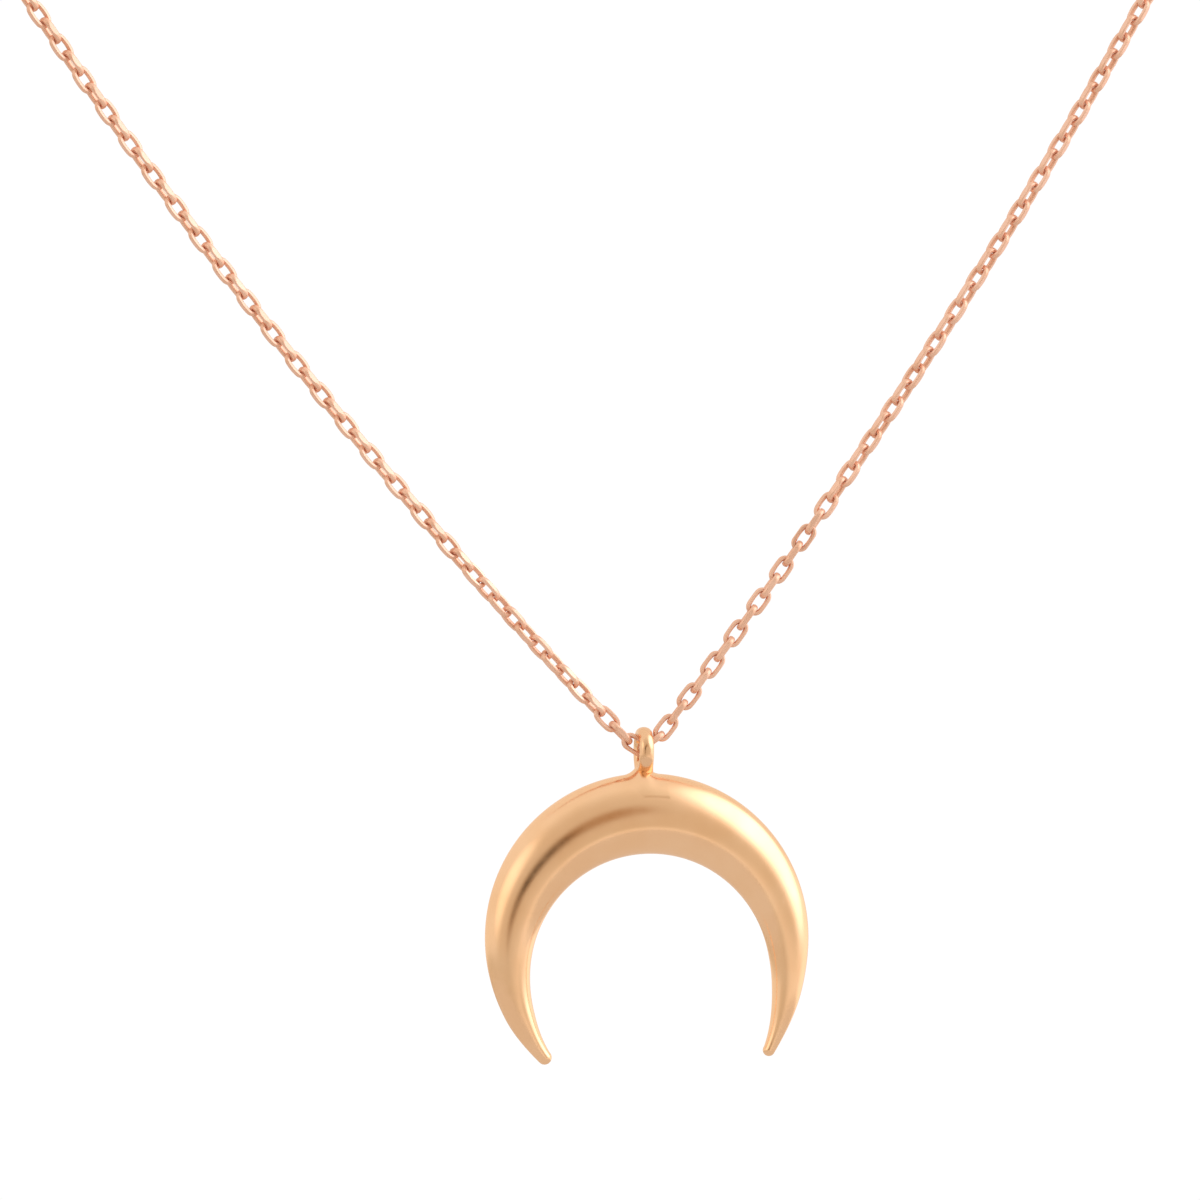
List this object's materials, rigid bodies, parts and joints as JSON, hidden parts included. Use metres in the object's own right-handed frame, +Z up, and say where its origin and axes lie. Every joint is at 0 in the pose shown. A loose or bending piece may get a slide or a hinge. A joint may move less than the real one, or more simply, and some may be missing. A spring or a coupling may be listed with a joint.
{
  "type": "pendant necklace",
  "caption": "Fine necklace: a hollow crescent pendant with its horns down, on a diamond-cut cable chain that a spring-ring clasp closes at the nape.",
  "frame": {"origin": "middle of the neck opening, level with the two side links that rest on the wearer's neck", "axes": "+Z up along the neck, -Y towards the front where the pendant hangs, +X to the right as seen from the front"},
  "size_m": [0.1172, 0.1029, 0.1362],
  "materials": {
    "chain_rose_gold": "polished, with mirror flats cut on the long sides of each link",
    "crescent_rose_gold": "satin to polished",
    "bail_gold": "polished",
    "clasp_rose_gold": "polished",
    "spring_steel": "drawn wire"
  },
  "bodies": {
    "side_links": {"side_link_left": "chain_rose_gold", "side_link_right": "chain_rose_gold"},
    "front_drop": {"apex_links": "chain_rose_gold", "chain_front_left_1": "chain_rose_gold", "chain_front_left_2": "chain_rose_gold", "chain_front_left_3": "chain_rose_gold", "chain_front_left_4": "chain_rose_gold", "chain_front_left_5": "chain_rose_gold", "chain_front_left_6": "chain_rose_gold", "chain_front_left_7": "chain_rose_gold", "chain_front_right_1": "chain_rose_gold", "chain_front_right_2": "chain_rose_gold", "chain_front_right_3": "chain_rose_gold", "chain_front_right_4": "chain_rose_gold", "chain_front_right_5": "chain_rose_gold", "chain_front_right_6": "chain_rose_gold", "chain_front_right_7": "chain_rose_gold"},
    "pendant": {"crescent_front_shell": "crescent_rose_gold", "crescent_back_shell": "crescent_rose_gold", "bail_ring": "bail_gold"},
    "nape_chain": {"chain_back_left_1": "chain_rose_gold", "chain_back_left_2": "chain_rose_gold", "chain_back_left_3": "chain_rose_gold", "chain_back_left_4": "chain_rose_gold", "chain_back_left_5": "chain_rose_gold", "chain_back_left_6": "chain_rose_gold", "chain_back_right_1": "chain_rose_gold", "chain_back_right_2": "chain_rose_gold", "chain_back_right_3": "chain_rose_gold", "chain_back_right_4": "chain_rose_gold", "chain_back_right_5": "chain_rose_gold", "chain_back_right_6": "chain_rose_gold"},
    "clasp": {"clasp_body": "clasp_rose_gold", "clasp_eye": "clasp_rose_gold", "clasp_spring": "spring_steel"},
    "bolt": {"clasp_bolt": "clasp_rose_gold"},
    "jump_ring": {"jump_ring": "clasp_rose_gold"},
    "end_ring": {"end_ring": "clasp_rose_gold"}
  },
  "joints": [
    {"name": "front_swing", "type": "hinge", "parent": "side_links", "child": "front_drop", "pos_m": [0, -0.00044, -0.00018], "axis": [-1, 0, 0], "range_deg": [0, 60]},
    {"name": "pendant_swing", "type": "hinge", "parent": "front_drop", "child": "pendant", "pos_m": [0.00384, -0.03, -0.084], "axis": [-1, 0, 0], "range_deg": [-120, 120]},
    {"name": "nape_lift", "type": "hinge", "parent": "side_links", "child": "nape_chain", "pos_m": [0, 0.00045, 0.00018], "axis": [1, 0, 0], "range_deg": [0, 35]},
    {"name": "clasp_swivel", "type": "hinge", "parent": "nape_chain", "child": "clasp", "pos_m": [0, 0.06889, 0.02783], "axis": [1, 0, 0], "range_deg": [-25, 25]},
    {"name": "bolt_slide", "type": "hinge", "parent": "clasp", "child": "bolt", "pos_m": [0, 0.06889, 0.02783], "axis": [0, 1, 0], "range_deg": [0, 50], "stiffness_Nm_per_rad": 0.001, "springref_deg": -17.19},
    {"name": "jump_ring_turn", "type": "hinge", "parent": "nape_chain", "child": "jump_ring", "pos_m": [-0.00526, 0.06889, 0.02783], "axis": [1, 0, 0], "range_deg": [-20, 20]},
    {"name": "end_ring_turn", "type": "hinge", "parent": "nape_chain", "child": "end_ring", "pos_m": [0.00348, 0.06889, 0.02783], "axis": [1, 0, 0], "range_deg": [-20, 20]}
  ]
}
